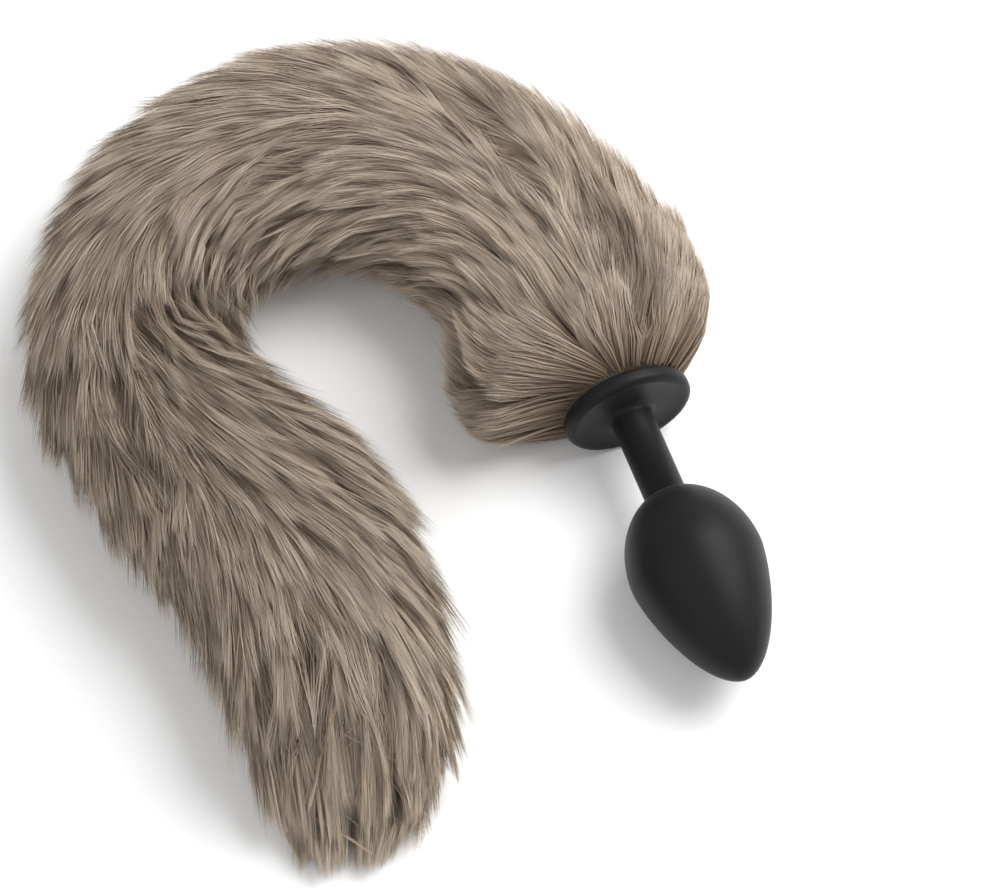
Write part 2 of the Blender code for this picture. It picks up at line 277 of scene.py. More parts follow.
class Wire:
    """A node's output with arithmetic, so that a node tree can be written as formulas."""

    def __init__(self, desk: "NodeDesk", socket: bpy.types.NodeSocket) -> None:
        """Keeps the socket and the desk that adds nodes to its tree."""
        self.desk = desk
        self.socket = socket

    def _with(self, operation: str, other: "Wire | float | tuple", swapped: bool = False) -> "Wire":
        """Adds a math node on this wire and another value.

        Args:
            operation: Blender's name for the operation.
            other: a wire, a number or a vector.
            swapped: puts the other value first.

        Returns:
            The node's result.
        """
        vector = any(
            isinstance(v, tuple) or (isinstance(v, Wire) and v.socket.type == "VECTOR") for v in (self, other)
        )
        kind = "ShaderNodeVectorMath" if vector else "ShaderNodeMath"
        first, second = (other, self) if swapped else (self, other)
        return self.desk.put(kind, {"operation": operation}, {0: first, 1: second})

    def __add__(self, other: "Wire | float | tuple") -> "Wire":
        """Sum."""
        return self._with("ADD", other)

    __radd__ = __add__

    def __sub__(self, other: "Wire | float | tuple") -> "Wire":
        """Difference."""
        return self._with("SUBTRACT", other)

    def __rsub__(self, other: float) -> "Wire":
        """Difference from a number."""
        return self._with("SUBTRACT", other, swapped=True)

    def __mul__(self, other: "Wire | float | tuple") -> "Wire":
        """Product."""
        return self._with("MULTIPLY", other)

    __rmul__ = __mul__

    def __truediv__(self, other: "Wire | float") -> "Wire":
        """Quotient."""
        return self._with("DIVIDE", other)

    def __pow__(self, other: float) -> "Wire":
        """Power."""
        return self._with("POWER", other)

    def at_least(self, other: "Wire | float") -> "Wire":
        """The larger of the two."""
        return self._with("MAXIMUM", other)

    def at_most(self, other: "Wire | float") -> "Wire":
        """The smaller of the two."""
        return self._with("MINIMUM", other)

    def above(self, other: "Wire | float") -> "Wire":
        """1 where this is above the other, else 0."""
        return self._with("GREATER_THAN", other)

    def sine(self) -> "Wire":
        """Sine of an angle in radians."""
        return self.desk.put("ShaderNodeMath", {"operation": "SINE"}, {0: self})

    def cosine(self) -> "Wire":
        """Cosine of an angle in radians."""
        return self.desk.put("ShaderNodeMath", {"operation": "COSINE"}, {0: self})

    def dot(self, other: "Wire | tuple") -> "Wire":
        """Dot product."""
        node = self.desk.node("ShaderNodeVectorMath", {"operation": "DOT_PRODUCT"}, {0: self, 1: other})
        return Wire(self.desk, node.outputs["Value"])

    def part(self, axis: int) -> "Wire":
        """X, Y or Z of a vector, for axis 0, 1 or 2."""
        node = self.desk.node("ShaderNodeSeparateXYZ", {}, {0: self})
        return Wire(self.desk, node.outputs[axis])


Value = Wire | float | tuple | str | bpy.types.Material


class NodeDesk:
    """Adds nodes to one tree and links them."""

    def __init__(self, tree: bpy.types.NodeTree) -> None:
        """Starts on a tree."""
        self.tree = tree

    def node(self, kind: str, settings: dict[str, object], inputs: dict[int | str, Value]) -> bpy.types.Node:
        """Adds a node.

        Args:
            kind: the node's type name.
            settings: its properties.
            inputs: values for its sockets, by number or by name among those in use.

        Returns:
            The node.
        """
        node = self.tree.nodes.new(kind)
        for name, value in settings.items():
            setattr(node, name, value)
        for key, value in inputs.items():
            named = isinstance(key, str)
            in_use = (s for s in node.inputs if s.enabled and s.name == key)
            socket = next(in_use) if named else node.inputs[key]
            if isinstance(value, Wire):
                self.tree.links.new(value.socket, socket)
            else:
                socket.default_value = value
        return node

    def put(self, kind: str, settings: dict[str, object], inputs: dict[int | str, Value]) -> Wire:
        """Adds a node and returns its first output in use."""
        node = self.node(kind, settings, inputs)
        return Wire(self, next(s for s in node.outputs if s.enabled))

    def joined(self, x: Value, y: Value, z: Value = 0.0) -> Wire:
        """A vector from its three parts."""
        return self.put("ShaderNodeCombineXYZ", {}, {0: x, 1: y, 2: z})

    def named(self, name: str, kind: str = "FLOAT_VECTOR") -> Wire:
        """Reads a named attribute."""
        return self.put("GeometryNodeInputNamedAttribute", {"data_type": kind}, {"Name": name})

    def stored(self, geometry: Wire, name: str, value: Wire, kind: str, domain: str = "POINT") -> Wire:
        """Writes a named attribute on a geometry."""
        settings = {"data_type": kind, "domain": domain}
        return self.put(
            "GeometryNodeStoreNamedAttribute", settings, {"Geometry": geometry, "Name": name, "Value": value}
        )

    def chance(self, seed: int) -> Wire:
        """Three random numbers from 0 to 1 for each point."""
        inputs = {"Min": (0.0, 0.0, 0.0), "Max": (1.0, 1.0, 1.0), "Seed": seed}
        return self.put("FunctionNodeRandomValue", {"data_type": "FLOAT_VECTOR"}, inputs)

    def ramp(self, factor: Wire, stops: tuple[tuple[float, Colour], ...]) -> Wire:
        """A colour ramp.

        Args:
            factor: the place on the ramp, from 0 to 1.
            stops: place and colour of each stop.

        Returns:
            The colour.
        """
        node = self.node("ShaderNodeValToRGB", {}, {"Fac": factor})
        elements = node.color_ramp.elements
        while len(elements) < len(stops):
            elements.new(0.5)
        for element, (place, colour) in zip(elements, stops):
            element.position = place
            element.color = (*colour, 1.0)
        return Wire(self, node.outputs["Color"])

    def mixed(self, factor: Value, first: Value, second: Value, blend: str = "MIX") -> Wire:
        """Mixes two colours."""
        settings = {"data_type": "RGBA", "blend_type": blend}
        plain = {k: (*v, 1.0) if isinstance(v, tuple) else v for k, v in {"A": first, "B": second}.items()}
        return self.put("ShaderNodeMix", settings, {"Factor": factor, **plain})

    def noise(self, place: Wire, scale: float, detail: float, roughness: float = 0.5) -> Wire:
        """Fractal noise from 0 to 1."""
        inputs = {"Vector": place, "Scale": scale, "Detail": detail, "Roughness": roughness}
        return self.put("ShaderNodeTexNoise", {}, inputs)


class Tilt:
    """How the plug lies: bulb and flange edge on the table, so that its tip is slightly up."""

    @staticmethod
    def angle() -> float:
        """Angle of the plug's axis above level."""
        apart = FLANGE_THICKNESS / 2 + NECK_LENGTH + BULB_LENGTH * BULB_WIDEST
        return math.atan2((BULB_DIAMETER - FLANGE_DIAMETER) / 2, apart)

    @classmethod
    def axis(cls) -> Vector:
        """Unit vector from the flange to the tip."""
        level = math.cos(cls.angle())
        return Vector((level * math.cos(PLUG_HEADING), level * math.sin(PLUG_HEADING), math.sin(cls.angle())))


def flange_back() -> Vector:
    """Middle of the flange's back, worked out from the post's box in the frame."""
    low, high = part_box("tail_post")
    middle = (Vector(low) + Vector(high)) / 2
    return middle + Tilt.axis() * (POST_IN_TAIL - POST_IN_PLUG) / 2


@dataclass
class TailForm:
    """The tail's outer form: a middle line on the table and sections along it."""

    start: Vector
    shares: np.ndarray = field(init=False)
    columns: dict[str, np.ndarray] = field(init=False)
    walk: np.ndarray = field(init=False)
    middle: np.ndarray = field(init=False)

    def __post_init__(self) -> None:
        """Walks the middle line from the flange with the headings of the sections."""
        self.shares = np.array([s.share for s in TAIL_SECTIONS])
        self.columns = {n: np.array([getattr(s, n) for s in TAIL_SECTIONS]) for n in Section._fields[1:]}
        self.walk = np.linspace(0.0, 1.0, MIDDLE_LINE_STEPS + 1)
        headings = self.heading(self.walk)
        ways = np.stack([np.cos(headings), np.sin(headings)], axis=1)
        moves = (ways[1:] + ways[:-1]) / 2 * TAIL_LENGTH / MIDDLE_LINE_STEPS
        start = np.array(self.start[:2]) - np.array(Tilt.axis()[:2]) * CLEARANCE
        self.middle = start + np.concatenate([[[0.0, 0.0]], np.cumsum(moves, axis=0)])

    def heading(self, share: np.ndarray) -> np.ndarray:
        """Where the tail runs at shares of its length, from +X."""
        return PLUG_HEADING + math.pi + np.radians(np.interp(share, self.shares, self.columns["turn"]))

    def crease_depth(self, share: np.ndarray, around: np.ndarray) -> np.ndarray:
        """How far the creases press the form in at each place."""
        depth = np.zeros(np.broadcast(share, around).shape)
        for c in CREASES:
            start = np.array([c.share * TAIL_LENGTH, c.around * TAIL_GIRTH])
            way = np.array([c.end_share * TAIL_LENGTH, c.end_around * TAIL_GIRTH]) - start
            off = np.stack(np.broadcast_arrays(share * TAIL_LENGTH, around * TAIL_GIRTH), axis=-1) - start
            along = np.clip(off @ way / (way @ way), 0.0, 1.0)
            apart = np.linalg.norm(off - along[..., None] * way, axis=-1)
            depth = depth + c.depth * np.exp(-((apart / c.width) ** 2))
        return depth

    def root_room(self, share: np.ndarray) -> np.ndarray:
        """How much of the full root depth a section has room for, from 0 to 1."""
        opening = np.clip(share / COLLAR_SHARE, 0.0, 1.0)
        closing = np.clip((BRUSH_END - share) / BRUSH_SHARE, 0.0, 1.0)
        return LEAST_ROOM + (1.0 - LEAST_ROOM) * np.minimum(opening, closing) ** ROOM_CURVE

    def surface(
        self, share: np.ndarray, around: np.ndarray, depth: float | np.ndarray = 0.0, brush: bool = True
    ) -> np.ndarray:
        """Points of the form.

        Args:
            share: shares of the tail's length. Past 1 the form runs straight on.
            around: shares of the way round, from the underside by the inner side over the top.
            depth: distance below the outer form.
            brush: keeps the end open, as its locks are, instead of rounding it off.

        Returns:
            An array of points, with one more axis than the shares.
        """
        share, around = np.broadcast_arrays(share, around)
        on_line = np.minimum(share, 1.0)
        heading = self.heading(on_line)
        way = np.stack([np.cos(heading), np.sin(heading)], axis=-1)
        side = np.stack([-way[..., 1], way[..., 0]], axis=-1)
        middle = np.stack([np.interp(on_line, self.walk, self.middle[:, k]) for k in (0, 1)], axis=-1)
        middle = middle + way * ((share - on_line) * TAIL_LENGTH)[..., None]
        held = np.minimum(share, BRUSH_START) if brush else on_line
        past = np.maximum(0.0, share - held) / (1.0 - BRUSH_START)
        closing = np.maximum(LEAST_CLOSING, 1.0 - BRUSH_CLOSING * past)
        if not brush:
            closing = np.ones_like(share)
        inner, outer = (
            np.interp(held, self.shares, self.columns[n]) * TAIL_WIDTH / 2 for n in ("inner", "outer")
        )
        tall = np.interp(held, self.shares, self.columns["height"]) * TAIL_HEIGHT * closing**BRUSH_DROP
        angle = 2 * math.pi * around - math.pi / 2
        below = depth + self.crease_depth(share, around)
        crest = CREST_START * tall
        half = np.maximum(np.where(np.cos(angle) > 0, inner, outer) * closing, LEAST_WIDTH) - below
        upper = crest + (tall - crest - below) * np.sin(angle)
        lower = crest * (1 - np.minimum(1.0, -FLATTENING * np.sin(angle)))
        height = np.where(np.sin(angle) >= 0, upper, lower)
        level = middle + side * (half * np.cos(angle))[..., None]
        return np.concatenate([level, height[..., None]], axis=-1)


def grid_mesh(name: str, points: np.ndarray, closed: bool) -> bpy.types.Mesh:
    """A mesh of a grid of points.

    Args:
        name: the mesh's name.
        points: an array of rows of points. Rows run along the tail.
        closed: joins each row's end to its start and caps the first and the last row.

    Returns:
        The mesh, with its faces outwards.
    """
    rows, around = points.shape[:2]
    index = np.arange(rows * around).reshape(rows, around)
    after = np.roll(index, -1, axis=1) if closed else index[:, 1:]
    here = index if closed else index[:, :-1]
    quads = np.stack([here[:-1], here[1:], after[1:], after[:-1]], axis=-1).reshape(-1, 4)
    faces = quads.tolist()
    if closed:
        faces += [index[0].tolist(), index[-1][::-1].tolist()]
    mesh = bpy.data.meshes.new(name)
    mesh.from_pydata(points.reshape(-1, 3).tolist(), [], faces)
    mesh.shade_smooth()
    return mesh


def write_map(mesh: bpy.types.Mesh, name: str, places: np.ndarray) -> None:
    """Writes a UV map from a place for each vertex."""
    corner = np.empty(len(mesh.loops), np.int32)
    mesh.loops.foreach_get("vertex_index", corner)
    layer = mesh.uv_layers.new(name=name)
    layer.uv.foreach_set("vector", places.reshape(-1, 2)[corner].astype(np.float32).ravel())


def write_values(mesh: bpy.types.Mesh, name: str, values: np.ndarray) -> None:
    """Writes a number or a vector for each vertex as a named attribute."""
    vector = values.ndim == 3
    made = mesh.attributes.new(name, "FLOAT_VECTOR" if vector else "FLOAT", "POINT")
    made.data.foreach_set("vector" if vector else "value", values.astype(np.float32).ravel())


def show(name: str, mesh: bpy.types.Mesh, material: bpy.types.Material | None = None) -> bpy.types.Object:
    """Puts a mesh in the scene as an object at the origin."""
    piece = bpy.data.objects.new(name, mesh)
    bpy.context.scene.collection.objects.link(piece)
    if material is not None:
        mesh.materials.clear()
        mesh.materials.append(material)
    return piece


def settle(maker: bpy.types.Object, name: str) -> bpy.types.Mesh:
    """Turns an object with modifiers into a plain mesh and removes the object."""
    depsgraph = bpy.context.evaluated_depsgraph_get()
    mesh = bpy.data.meshes.new_from_object(maker.evaluated_get(depsgraph), depsgraph=depsgraph)
    mesh.name = name
    bpy.data.objects.remove(maker, do_unlink=True)
    return mesh


class Pattern(Enum):
    """What a finish's pattern is drawn on."""

    OBJECT = "Object"
    OWN_MAP = TEXTURE_MAP


def new_material(name: str) -> tuple[bpy.types.Material, NodeDesk, bpy.types.Node]:
    """A new material, a desk for its tree and its Principled shader."""
    material = bpy.data.materials.new(name)
    material.use_nodes = True
    return material, NodeDesk(material.node_tree), material.node_tree.nodes["Principled BSDF"]


def pattern_place(desk: NodeDesk, pattern: Pattern) -> Wire:
    """The coordinates that a pattern is drawn on."""
    if pattern is Pattern.OWN_MAP:
        return desk.put("ShaderNodeUVMap", {"uv_map": pattern.value}, {})
    node = desk.node("ShaderNodeTexCoord", {}, {})
    return Wire(desk, node.outputs[pattern.value])


def link(desk: NodeDesk, value: Wire, shader: bpy.types.Node, socket: str) -> None:
    """Joins a value to a shader's socket."""
    desk.tree.links.new(value.socket, shader.inputs[socket])


def set_plain(shader: bpy.types.Node, values: dict[str, float]) -> None:
    """Sets a shader's sockets that are the same all over."""
    for name, value in values.items():
        shader.inputs[name].default_value = value


def mottle_group() -> bpy.types.NodeTree:
    """The shared node group for moulded surfaces: a cloudy mask, a fine grain and a bump height."""
    if "moulded_mottle" in bpy.data.node_groups:
        return bpy.data.node_groups["moulded_mottle"]
    tree = bpy.data.node_groups.new("moulded_mottle", "ShaderNodeTree")
    tree.interface.new_socket("Place", in_out="INPUT", socket_type="NodeSocketVector")
    for name, value in (("Cloud Scale", 60.0), ("Grain Scale", 2500.0)):
        tree.interface.new_socket(name, in_out="INPUT", socket_type="NodeSocketFloat").default_value = value
    for name in ("Clouds", "Grain", "Height"):
        tree.interface.new_socket(name, in_out="OUTPUT", socket_type="NodeSocketFloat")
    desk = NodeDesk(tree)
    given = desk.node("NodeGroupInput", {}, {})
    place, cloud_scale, grain_scale = (Wire(desk, given.outputs[i]) for i in range(3))
    clouds = desk.put("ShaderNodeTexNoise", {}, {"Vector": place, "Scale": cloud_scale, "Detail": 4.0})
    grain = desk.put("ShaderNodeTexNoise", {}, {"Vector": place, "Scale": grain_scale, "Detail": 2.0})
    height = clouds * 0.3 + grain * 0.7
    desk.node("NodeGroupOutput", {}, {0: clouds, 1: grain, 2: height})
    return tree


@dataclass(frozen=True)
class MouldedFinish:
    """A moulded material with a cloudy sheen and a fine grain."""

    name: str
    colour: Colour
    dust_colour: Colour
    roughness: tuple[float, float]
    specular: float
    sheen: float
    cloud_scale: float
    grain_scale: float
    bump: float

    def make(self) -> bpy.types.Material:
        """Builds the material.

        Returns:
            The material, patterned on Object coordinates.
        """
        material, desk, shader = new_material(self.name)
        group = desk.node(
            "ShaderNodeGroup",
            {"node_tree": mottle_group()},
            {
                "Place": pattern_place(desk, Pattern.OBJECT),
                "Cloud Scale": self.cloud_scale,
                "Grain Scale": self.grain_scale,
            },
        )
        clouds, grain, height = (Wire(desk, group.outputs[i]) for i in range(3))
        least, most = self.roughness
        link(desk, desk.mixed(clouds * grain, self.colour, self.dust_colour), shader, "Base Color")
        link(desk, clouds * (most - least) + least, shader, "Roughness")
        bump = {"Strength": self.bump, "Distance": 0.0002, "Height": height}
        link(desk, desk.put("ShaderNodeBump", {}, bump), shader, "Normal")
        set_plain(shader, {"Specular IOR Level": self.specular, "Sheen Weight": self.sheen})
        return material


@dataclass(frozen=True)
class FurFinish:
    """Faux fur: dark at the root as painted shade deep in the pile, lighter to the tip, and each strand its
    own tone.
    """

    name: str
    root: Colour
    lower: Colour
    upper: Colour
    tip: Colour
    cool_dark: Colour
    warm_light: Colour
    roughness: float
    specular: float
    hairs: float
    hair_contrast: float

    def tint(self, desk: NodeDesk, along: Wire, tone: Wire) -> Wire:
        """Colour at a place along a strand of a tone.

        Args:
            desk: the desk of the material's tree.
            along: 0 at the root, 1 at the tip.
            tone: 0 for the darkest strand, 1 for the lightest.

        Returns:
            The colour.
        """
        # the dark root end of the ramp is painted shade deep in the pile
        length = desk.ramp(along, ((0.0, self.root), (0.30, self.lower), (0.68, self.upper), (1.0, self.tip)))
        shade = desk.ramp(tone, ((0.0, self.cool_dark), (0.5, (1.0, 1.0, 1.0)), (1.0, self.warm_light)))
        return desk.mixed(1.0, length, shade, "MULTIPLY")

    def make_strands(self) -> bpy.types.Material:
        """Material of the strands, whose map has the tone across and the length up.

        Returns:
            The material.
        """
        material, desk, shader = new_material(self.name)
        place = pattern_place(desk, Pattern.OWN_MAP)
        along = place.part(1)
        hairs = desk.noise(place * (self.hairs, 3.0, 1.0), 1.0, 1.0)
        tone = place.part(0) + (hairs - 0.5) * self.hair_contrast
        link(desk, self.tint(desk, along, tone), shader, "Base Color")
        link(desk, self.roughness + along * 0.12, shader, "Roughness")
        set_plain(shader, {"Specular IOR Level": self.specular, "Sheen Weight": 0.0})
        return material

    def make_underfur(self, streaks: tuple[float, float]) -> bpy.types.Material:
        """Material of the underfur, with streaks that run along the tail.

        Args:
            streaks: how many streaks fit along the tail and round it.

        Returns:
            The material.
        """
        material, desk, shader = new_material(f"{self.name}_underfur")
        place = pattern_place(desk, Pattern.OWN_MAP) * (*streaks, 1.0)
        fine = desk.noise(place, 1.0, 5.0, 0.65)
        locks = desk.noise(place, 0.23, 2.0)
        # the underfur takes its colour from the dark root end of the ramp, painted shade deep in the pile
        link(desk, self.tint(desk, fine * 0.62, locks), shader, "Base Color")
        link(desk, self.roughness + fine * 0.2, shader, "Roughness")
        bump = {"Strength": 0.8, "Distance": 0.0015, "Height": fine}
        link(desk, desk.put("ShaderNodeBump", {}, bump), shader, "Normal")
        set_plain(shader, {"Specular IOR Level": self.specular})
        return material


SILICONE = MouldedFinish(
    name="matte_silicone",
    colour=(0.0060, 0.0060, 0.0063),
    dust_colour=(0.011, 0.011, 0.0113),
    roughness=(0.40, 0.54),
    specular=0.17,
    sheen=0.03,
    cloud_scale=90.0,
    grain_scale=4200.0,
    bump=0.05,
)
POST_PLASTIC = MouldedFinish(
    name="moulded_post",
    colour=(0.085, 0.085, 0.085),
    dust_colour=(0.12, 0.12, 0.12),
    roughness=(0.35, 0.50),
    specular=0.5,
    sheen=0.0,
    cloud_scale=300.0,
    grain_scale=5000.0,
    bump=0.08,
)
FUR = FurFinish(
    name="taupe_fur",
    # painted shade: the root colour is darkened to stand for the shade deep in the pile
    root=(0.185, 0.132, 0.091),
    lower=(0.275, 0.210, 0.154),
    upper=(0.375, 0.306, 0.237),
    tip=(0.475, 0.404, 0.328),
    cool_dark=(0.62, 0.565, 0.51),
    warm_light=(1.32, 1.30, 1.27),
    roughness=0.50,
    specular=0.30,
    hairs=260.0,
    hair_contrast=0.6,
)


@dataclass
class SiliconePlug:
    """The plug as one moulding: bulb, neck and flange turned round one axis."""

    sides: int = 112
    shoulder_steps: int = 22
    nose_steps: int = 40
    edge_steps: int = 10

    def arc(self, centre: Spot, radius: float, start: float, end: float) -> list[Spot]:
        """Points of an arc of the profile, angles in degrees."""
        angles = np.radians(np.linspace(start, end, self.edge_steps + 1))
        return [(centre[0] + radius * math.cos(a), centre[1] + radius * math.sin(a)) for a in angles]

    def profile(self) -> list[Spot]:
        """The half section, from the socket for the post to the tip.

        Returns:
            Radius and depth of each point. Depth 0 is the flange's back.
        """
        socket = POST_DIAMETER / 2 + CLEARANCE
        socket_end = -POST_IN_PLUG - CLEARANCE
        edge = FLANGE_EDGE_RADIUS
        rim = FLANGE_DIAMETER / 2 - edge
        front = -FLANGE_THICKNESS
        dish = front + FLANGE_DISH_DEPTH
        neck = NECK_DIAMETER / 2
        neck_end = front - NECK_LENGTH
        shoulder = BULB_LENGTH * BULB_WIDEST
        nose = BULB_LENGTH - shoulder
        first_angle = math.acos(NECK_DIAMETER / BULB_DIAMETER)
        reach = shoulder / math.sin(first_angle)
        angles = np.linspace(first_angle, 0.0, self.shoulder_steps)[1:]
        bulb = [(BULB_DIAMETER / 2 * math.cos(a), neck_end - shoulder + reach * math.sin(a)) for a in angles]
        shares = np.sin(np.linspace(0.0, math.pi / 2, self.nose_steps))[1:-1]
        bulb += [
            (BULB_DIAMETER / 2 * (1 - s**BULB_TAPER) ** BULB_BLUNTNESS, neck_end - shoulder - nose * s)
            for s in shares
        ]
        return [
            (0.0, socket_end),
            (socket, socket_end),
            (socket, 0.0),
            *self.arc((rim, -edge), edge, 90, 0),
            *self.arc((rim, front + edge), edge, 0, -90),
            (rim - FLANGE_LIP_WIDTH / 2, front + FLANGE_DISH_DEPTH * 0.3),
            (rim - FLANGE_LIP_WIDTH, dish),
            *self.arc((neck + NECK_FILLET, dish - NECK_FILLET), NECK_FILLET, 90, 180),
            (neck, neck_end),
            *bulb,
            (0.0, neck_end - BULB_LENGTH),
        ]

    def place(self) -> Matrix:
        """Turns the profile's downward axis to the plug's and puts the flange in its place."""
        turn = Vector((0, 0, -1)).rotation_difference(Tilt.axis()).to_matrix().to_4x4()
        return Matrix.Translation(flange_back()) @ turn

    def build(self) -> bpy.types.Object:
        """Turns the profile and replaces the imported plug.

        Returns:
            The finished piece.
        """
        points = self.profile()
        half = bpy.data.meshes.new("plug_profile")
        half.from_pydata([(r, 0.0, z) for r, z in points], [(i, i + 1) for i in range(len(points) - 1)], [])
        turned = show("plug_profile", half)
        screw = turned.modifiers.new("turned", "SCREW")
        screw.axis = "Z"
        screw.steps = screw.render_steps = self.sides
        screw.use_merge_vertices = True
        screw.merge_threshold = 0.000001
        screw.use_smooth_shade = True
        mesh = settle(turned, "silicone_plug")
        mesh.transform(self.place())
        piece = show("silicone_plug", mesh, SILICONE.make())
        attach(piece, ROOT_BODY)
        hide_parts("plug")
        return piece


@dataclass
class Underfur:
    """The tail's dark inner body that shows between the strands."""

    form: TailForm
    rows: int = 170
    around: int = 56
    depth: float = ROOT_DEPTH * 0.85
    lowest: float = 0.0003
    end: float = 0.945
    closing: float = 0.11
    collar_room: float = 0.4
    collar_waist: float = 0.30
    collar_share: float = 0.04
    streaks: tuple[float, float] = (26.0, 210.0)

    def build(self) -> bpy.types.Object:
        """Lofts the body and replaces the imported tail.

        Returns:
            The finished piece.
        """
        shares = np.linspace(0.0, self.end, self.rows)[:, None]
        turns = np.linspace(0.0, 1.0, self.around, endpoint=False)[None, :]
        depth = self.depth * np.maximum(self.form.root_room(shares), self.collar_room)
        points = self.form.surface(shares, turns, depth, brush=False)
        middle = points.mean(axis=1, keepdims=True)
        closing = np.sqrt(np.clip((self.end - shares) / self.closing, 0.0004, 1.0))[..., None]
        opening = 1.0 - self.collar_waist * np.exp(-((shares / self.collar_share) ** 2))[..., None]
        points = middle + (points - middle) * closing * opening
        points[..., 2] = np.maximum(points[..., 2], self.lowest)
        mesh = grid_mesh("underfur", points, closed=True)
        write_map(mesh, TEXTURE_MAP, np.stack(np.broadcast_arrays(shares, turns), axis=-1))
        piece = show("underfur", mesh, FUR.make_underfur(self.streaks))
        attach(piece, ROOT_BODY)
        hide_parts("fur_tail")
        return piece


@dataclass
class LaySurface:
    """The surface that the strands lie on, with what each place of it says to them."""

    form: TailForm
    rows: int = 300
    around: int = 110
    reach: float = 1.08  # share of the tail's length at which its map ends
    collar_crowding: float = 1.6  # more strands by the flange, where no others lie over their roots
    collar_share: float = 0.018
    brush_crowding: float = 0.7
    # painted shade: how much the creases darken the strands' tone
    crease_painted_shade: float = 0.22
    shade_ahead: float = 0.065  # from a strand's root to the part of it that shows, where the painted crease shade is read
    crease_full: float = 0.004  # depth of a crease that takes the whole painted shade
    collar_back: float = 0.006  # how far the inner side's first strands lean back to the flange
    collar_back_share: float = 0.03
    pile_reach: float = 0.42  # how far round from the top the full pile grows, as a share
    brush_pile_reach: float = 0.16  # how much further it grows round the brush
    pile_edge: float = 0.06  # way round over which it thins out
    least_pile: float = 0.06
    ruffle: float = 0.5  # more rise on the flanks
    ruffle_place: float = 0.27
    ruffle_width: float = 0.10

    @staticmethod
    def step(shares: np.ndarray, start: float, length: float) -> np.ndarray:
        """0 before a start, 1 past a length from there."""
        return np.clip((shares - start) / length, 0.0, 1.0)

    def build(self) -> bpy.types.Mesh:
        """Builds the surface.

        Returns:
            A mesh with a map and with the attributes that PLACE_VALUES names.
        """
        shares = np.linspace(0.0, self.reach, self.rows)[:, None]
        turns = np.linspace(0.0, 1.0, self.around)[None, :]
        inset = np.interp(shares, *np.transpose(LAY_INSET))
        points = self.form.surface(shares, turns, inset)
        points[..., 2] = np.maximum(points[..., 2], 0.0)
        along = np.gradient(points, axis=0) * (self.rows - 1) / self.reach
        across = np.gradient(points, axis=1) * (self.around - 1)
        outward = np.cross(across, along)
        outward /= np.maximum(np.linalg.norm(outward, axis=-1, keepdims=True), TINY)
        girth = np.linalg.norm(across, axis=-1)
        mesh = grid_mesh("lay_surface", points, closed=False)
        write_map(mesh, "lay", np.stack(np.broadcast_arrays(shares / self.reach, turns), axis=-1))
        measures = {
            "outward": outward,
            "across": across / np.maximum(girth, TINY)[..., None],
            "stretch": np.linalg.norm(along, axis=-1),
            "girth": girth,
        }
        for name, values in (measures | self.orders(shares, turns)).items():
            write_values(mesh, name, values)
        return mesh

    def orders(self, shares: np.ndarray, turns: np.ndarray) -> dict[str, np.ndarray]:
        """What each place says to the strands that start there.

        Args:
            shares: the rows' shares of the tail's length.
            turns: the columns' shares of the way round.

        Returns:
            Number of strands, rise, painted light and shade for the tone, root room, stray to the side and
            lean back, by name.
        """
        below = np.abs(turns - 0.5)
        under = self.pile_reach + self.brush_pile_reach * self.step(shares, 0.82, 0.04)
        crowd = 1.0 + self.collar_crowding * np.exp(-shares / self.collar_share)
        crowd = crowd + self.brush_crowding * self.step(shares, 0.84, 0.06)
        rise = 1.0 + self.ruffle * np.exp(-(((below - self.ruffle_place) / self.ruffle_width) ** 2))
        creases = self.form.crease_depth(shares + self.shade_ahead, turns) / self.crease_full
        inner_side = np.clip(np.sin(2 * math.pi * turns), 0.0, 1.0)
        places = [f.share for f in FLARES]
        inner = np.interp(shares, places, [f.inner for f in FLARES])
        outer = np.interp(shares, places, [f.outer for f in FLARES])
        side = turns - 0.5
        size = (self.rows, self.around)
        return {
            "density": np.clip((under - below) / self.pile_edge, self.least_pile, 1.0) * crowd,
            "rise": np.broadcast_to(rise, size),
            # painted light and shade: the tone along the tail, darkened further as painted shade in the
            # creases
            "shade": np.interp(shares, *np.transpose(PAINTED_LIGHT_ALONG)) - self.crease_painted_shade * creases,
            "back": self.collar_back * np.exp(-((shares / self.collar_back_share) ** 2)) * inner_side,
            "deep": np.broadcast_to(self.form.root_room(shares), size),
            "flare": np.where(side > 0, outer, inner) * np.sin(4 * math.pi * side),
        }


# What the lay surface tells the strands, the sizes that the coat gives its tree, and what each root keeps
PLACE_VALUES = (
    "outward",
    "across",
    "stretch",
    "girth",
    "density",
    "rise",
    "shade",
    "deep",
    "flare",
    "back",
    "lay",
)
COAT_SIZES = (
    "Strands Per Area",
    "Strand Length",
    "Strand Width",
    "Root Depth",
    "Tip Lift",
    "Lock Spacing",
    "Wisp Spacing",
    "Lock Gather",
    "Wisp Gather",
    "Wave",
)
ROOT_VALUES = ("home", "wisp", "lock", "own_chance", "wisp_chance", "lock_chance", "ribbon", "tone")


